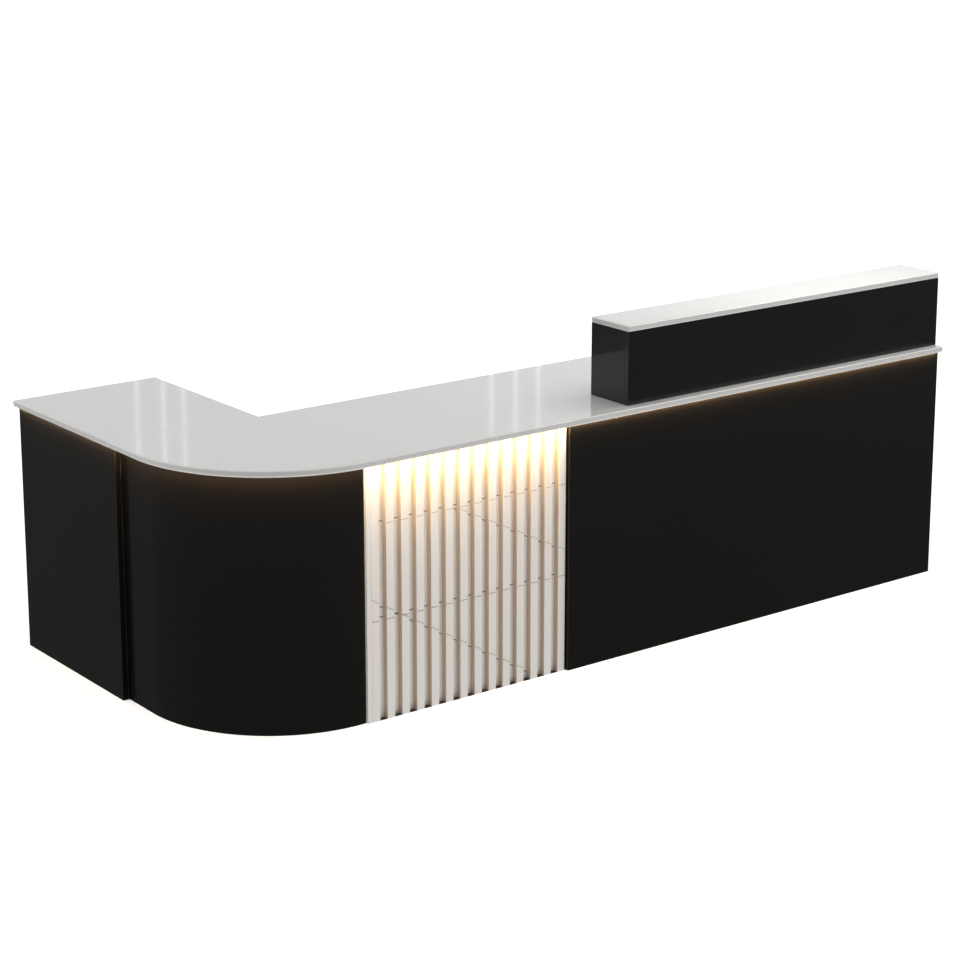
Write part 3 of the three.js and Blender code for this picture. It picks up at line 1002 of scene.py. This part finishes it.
DRAWERS = ("bottom", "middle", "top")


class COUNTER_OT_drawer_fronts(bpy.types.Operator):
    """Make the three drawer fronts"""

    bl_idname = "counter.drawer_fronts"
    bl_label = "Drawer fronts"

    def execute(self, context):
        for drawer in DRAWERS:
            lacquer_node(f"{drawer}_drawer_front", towards(1, -1))
        return {"FINISHED"}


class COUNTER_OT_drawer_boxes(bpy.types.Operator):
    """Make the three drawer boxes, with joint screws at their corners"""

    bl_idname = "counter.drawer_boxes"
    bl_label = "Drawer boxes"

    def execute(self, context):
        for drawer in DRAWERS:
            node = f"{drawer}_drawer_box"
            finish_node(node, "shell", ["drawer_board", "edge_tape"],
                        sizes().board_arris, paint=towards(2, 1))
            low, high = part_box(node)
            bm = bmesh.new()
            for x, facing in ((low.x, -1), (high.x, 1)):
                for y in (low.y + 6 * MM, high.y - 6 * MM):
                    for part in (0.16, 0.84):
                        z = low.z + (high.z - low.z) * part
                        put_screw(bm, (x, y, z), (facing, 0, 0), sizes().screw_radius,
                                  0.25 * MM)
            add_piece(f"{node}_screws", bm, ["zinc_steel"], body_of(node))
        return {"FINISHED"}


class COUNTER_OT_drawer_slides(bpy.types.Operator):
    """Make the drawers' slides, with their screws"""

    bl_idname = "counter.drawer_slides"
    bl_label = "Drawer slides"

    def execute(self, context):
        for drawer in DRAWERS:
            for side, inward in (("left", 1), ("right", -1)):
                for member in ("channel", "runner"):
                    node = f"{drawer}_drawer_{side}_{member}"
                    finish_node(node, "rolled", ["zinc_steel"], 0.4 * MM)
                    self.screws(node, member, inward)
        return {"FINISHED"}

    def screws(self, node, member, inward):
        """Screws through the channel's web, or through the runner's face."""
        low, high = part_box(node)
        wall = low.x if inward > 0 else high.x
        sheet = 1.5 * MM
        if member == "channel":
            x, facing, height = wall + inward * sheet, inward, 0.7 * MM
        else:
            x, facing, height = wall, -inward, 0.3 * MM
        bm = bmesh.new()
        for y in (low.y + 35 * MM, (low.y + high.y) / 2, high.y - 35 * MM):
            put_screw(bm, (x, y, (low.z + high.z) / 2), (facing, 0, 0),
                      sizes().screw_radius, height)
        add_piece(f"{node}_screws", bm, ["zinc_steel"], body_of(node))


def put_pull(bm, node, along):
    """A round bar pull with two posts and their rosettes, in the space of its CAD node."""
    low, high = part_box(node)
    radius = 5 * MM
    post = 4 * MM
    post_spacing = 128 * MM
    bar_y = high.y - radius
    middle = (low + high) / 2
    axis = Vector((1, 0, 0)) if along == "x" else UP
    half = (high - low).dot(axis) / 2
    centre = Vector((middle.x, bar_y, middle.z))
    put_rod(bm, centre - axis * half, axis * half * 2, radius, 32, 0, 0.9 * MM)
    for side in (-1, 1):
        foot = Vector((middle.x, low.y, middle.z)) + axis * side * post_spacing / 2
        put_rod(bm, foot, Vector((0, bar_y - low.y, 0)), post, 24)
        put_rod(bm, foot, Vector((0, 1.6 * MM, 0)), post * 1.7, 28, 0, 0.5 * MM)


class COUNTER_OT_pulls(bpy.types.Operator):
    """Make the bar pulls of the drawers and the door"""

    bl_idname = "counter.pulls"
    bl_label = "Pulls"

    def execute(self, context):
        pulls = {f"{drawer}_drawer_pull": "x" for drawer in DRAWERS}
        pulls["door_pull"] = "z"
        for node, along in pulls.items():
            bm = bmesh.new()
            put_pull(bm, node, along)
            add_piece(f"{node}_bar", bm, ["black_metal"], body_of(node),
                      [node])
        return {"FINISHED"}


# ---- cupboard door -------------------------------------------------------------------------

class COUNTER_OT_cupboard_door(bpy.types.Operator):
    """Make the cupboard door"""

    bl_idname = "counter.cupboard_door"
    bl_label = "Cupboard door"

    def execute(self, context):
        lacquer_node("cupboard_door", towards(1, -1))
        return {"FINISHED"}


class COUNTER_OT_hinges(bpy.types.Operator):
    """Make the door's butt hinges, with three screws in each leaf"""

    bl_idname = "counter.hinges"
    bl_label = "Hinges"

    def execute(self, context):
        for level in ("lower", "upper"):
            for side in ("frame", "door"):
                node = f"{level}_hinge_{side}_leaf"
                finish_node(node, "plated", ["zinc_steel"], 0.15 * MM, 1)
                low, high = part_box(node)
                leaf = 15 * MM
                x = high.x - leaf / 2 if side == "frame" else low.x + leaf / 2
                y = max(low.y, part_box(f"{level}_hinge_door_leaf")[0].y + 1.5 * MM)
                bm = bmesh.new()
                for part in (0.16, 0.5, 0.84):
                    z = low.z + (high.z - low.z) * part
                    put_screw(bm, (x, y, z), (0, 1, 0), 2.8 * MM, 0.5 * MM)
                add_piece(f"{node}_screws", bm, ["zinc_steel"], body_of(node))
        return {"FINISHED"}


# ---- stage ---------------------------------------------------------------------------------

CORNER_DIRECTION = (-0.64, -0.77, 0.0)  # level, from the middle out past the rounded corner

# Where the tall tubes stand behind the counter: degrees to the right of +Y, as seen from the
# camera, and metres away from it.
TUBE_BEARINGS = (28.93, 29.55, 30.03, 37.41, 37.99, 38.53)
TUBE_DISTANCE = 14


def add_area_light(name, place, aim, width, height, power, tint=(1, 1, 1)):
    """A rectangular light at a place, turned to a point."""
    data = bpy.data.lights.new(name, "AREA")
    data.shape = "RECTANGLE"
    data.size = width
    data.size_y = height
    data.energy = power
    data.color = tint
    lamp = bpy.data.objects.new(name, data)
    lamp.location = place
    lamp.rotation_euler = (Vector(aim) - Vector(place)).to_track_quat("-Z", "Y").to_euler()
    bpy.context.scene.collection.objects.link(lamp)
    return lamp


def make_surroundings():
    """White surroundings, dimmer before the rounded corner, over a bright ground.

    The ground's light comes up mostly from the customer side. Polished surfaces mirror the
    ground as dark, and the surroundings as evenly white.
    """
    world = bpy.data.worlds.new("surroundings")
    bpy.context.scene.world = world
    air = Finish(world)
    direction = air.add("ShaderNodeTexCoord", output="Generated")
    height = air.part_of(direction, "Z")
    facing = air.add("ShaderNodeVectorMath", {"operation": "DOT_PRODUCT"},
                     {0: direction, 1: CORNER_DIRECTION}, "Value")
    front = air.between(facing, -0.5, 0.2, stage().ground * stage().back, stage().ground)
    mirrored = air.add("ShaderNodeLightPath", output="Is Glossy Ray")
    ground = front - mirrored * (front - stage().mirrored)
    rise = air.between(height, -0.15, -0.06, ground, stage().sky)
    dim = air.between(facing, 0.35, 1.0, stage().side, stage().corner)
    share = dim + mirrored * (1 - dim)
    background = air.add("ShaderNodeBackground", None,
                         {"Color": (1, 1, 1, 1), "Strength": rise * share})
    air.add("ShaderNodeOutputWorld", None, {"Surface": background})


def add_floor():
    """A wide pale floor. In reflections and bounced light, the ground stands in for it."""
    bm = bmesh.new()
    bmesh.ops.create_grid(bm, x_segments=1, y_segments=1, size=120)
    mesh = bpy.data.meshes.new("floor")
    bm.to_mesh(mesh)
    bm.free()
    mesh.materials.append(finish_named("pale_floor"))
    floor = bpy.data.objects.new("floor", mesh)
    floor.visible_glossy = False
    floor.visible_diffuse = False
    bpy.context.scene.collection.objects.link(floor)


def add_wash():
    """A warm wash down the fluted board, from a place in front of its top."""
    low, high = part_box("fluted_panel")
    length = high.x - low.x
    place = Vector(((low.x + high.x) / 2, low.y - 85 * MM, high.z - 14 * MM))
    aim = place + Vector((0, 0.19, -0.98))
    wash = add_area_light("wash", place, aim, length, 50 * MM, stage().wash_power * length,
                          tuple(colours().wash))
    wash.visible_glossy = False


def add_tubes(viewpoint):
    """Tall thin tubes far behind the counter, to be mirrored in its polished tops."""
    for degrees in TUBE_BEARINGS:
        bearing = math.radians(degrees)
        away = Vector((math.sin(bearing), math.cos(bearing), 0))
        place = viewpoint + away * TUBE_DISTANCE + UP * 0.4
        tube = add_area_light("tube", place, place - away, 9 * MM, 3.0, stage().tube_power)
        tube.visible_camera = False


def add_soft_lights():
    """A light over the right of the raised shelf, and the key at the front left."""
    low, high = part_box("riser_top")
    above = Vector((high.x - 0.45, low.y, high.z + 0.75))
    shelf = add_area_light("shelf", above, above - UP, 1.0, 0.5, stage().shelf_power)
    shelf.visible_camera = False
    middle = (Vector(CAD_BOX[0]) + Vector(CAD_BOX[1])) / 2
    add_area_light("key", middle + Vector((-3.5, -4.5, 3.8)), middle, 3.0, 3.0,
                   stage().key_power)


class COUNTER_OT_stage(bpy.types.Operator):
    """Make the floor, the surroundings and the soft studio lights"""

    bl_idname = "counter.stage"
    bl_label = "Stage"

    def execute(self, context):
        context.scene.view_settings.view_transform = "Standard"
        make_surroundings()
        add_floor()
        add_wash()
        add_tubes(context.scene.camera.location)
        add_soft_lights()
        return {"FINISHED"}


class COUNTER_OT_camera(bpy.types.Operator):
    """Place the camera, high and to the left of the customer front"""

    bl_idname = "counter.camera"
    bl_label = "Camera"

    def execute(self, context):
        data = bpy.data.cameras.new("camera")
        data.sensor_width = 36
        data.lens = 92.05
        data.shift_y = -0.1254
        data.clip_end = 500
        camera = bpy.data.objects.new("camera", data)
        camera.location = (-4.7137, -6.1254, 2.6918)
        camera.rotation_euler = (math.radians(76.532), 0, math.radians(-37.142))
        context.scene.collection.objects.link(camera)
        context.scene.camera = camera
        return {"FINISHED"}


# ---- add-on --------------------------------------------------------------------------------

STEPS = (
    COUNTER_OT_camera, COUNTER_OT_stone_tops, COUNTER_OT_gloss_panels,
    COUNTER_OT_curved_panel, COUNTER_OT_fluted_board, COUNTER_OT_inlay,
    COUNTER_OT_raised_shelf, COUNTER_OT_edge_light, COUNTER_OT_light_driver,
    COUNTER_OT_cabinet_boards, COUNTER_OT_shelf_fittings, COUNTER_OT_connector_covers,
    COUNTER_OT_drawer_fronts, COUNTER_OT_drawer_boxes, COUNTER_OT_drawer_slides,
    COUNTER_OT_pulls, COUNTER_OT_cupboard_door, COUNTER_OT_hinges, COUNTER_OT_stage,
)


class COUNTER_PT_sidebar(bpy.types.Panel):
    """Shows the counter's settings, and a button for each step that makes its pieces"""

    bl_idname = "COUNTER_PT_sidebar"
    bl_label = "Checkout counter"
    bl_space_type = "VIEW_3D"
    bl_region_type = "UI"
    bl_category = "Counter"

    def draw(self, context):
        for group in (context.scene.counter_colours, context.scene.counter_sizes,
                      context.scene.counter_stage):
            box = self.layout.box()
            for name in group.bl_rna.properties.keys():
                if name not in ("rna_type", "name"):
                    box.prop(group, name)
        for step in STEPS:
            self.layout.operator(step.bl_idname)


GROUPS = {"counter_colours": CounterColours, "counter_sizes": CounterSizes,
          "counter_stage": CounterStage}


def register():
    for group in GROUPS.values():
        bpy.utils.register_class(group)
    for step in (*STEPS, COUNTER_PT_sidebar):
        bpy.utils.register_class(step)
    for name, group in GROUPS.items():
        setattr(bpy.types.Scene, name, bpy.props.PointerProperty(type=group))


def unregister():
    for name in GROUPS:
        delattr(bpy.types.Scene, name)
    for step in (COUNTER_PT_sidebar, *reversed(STEPS)):
        bpy.utils.unregister_class(step)
    for group in reversed(list(GROUPS.values())):
        bpy.utils.unregister_class(group)


def main():
    register()
    for step in STEPS:
        getattr(bpy.ops.counter, step.bl_idname.split(".")[1])()


if __name__ == "__main__":
    main()
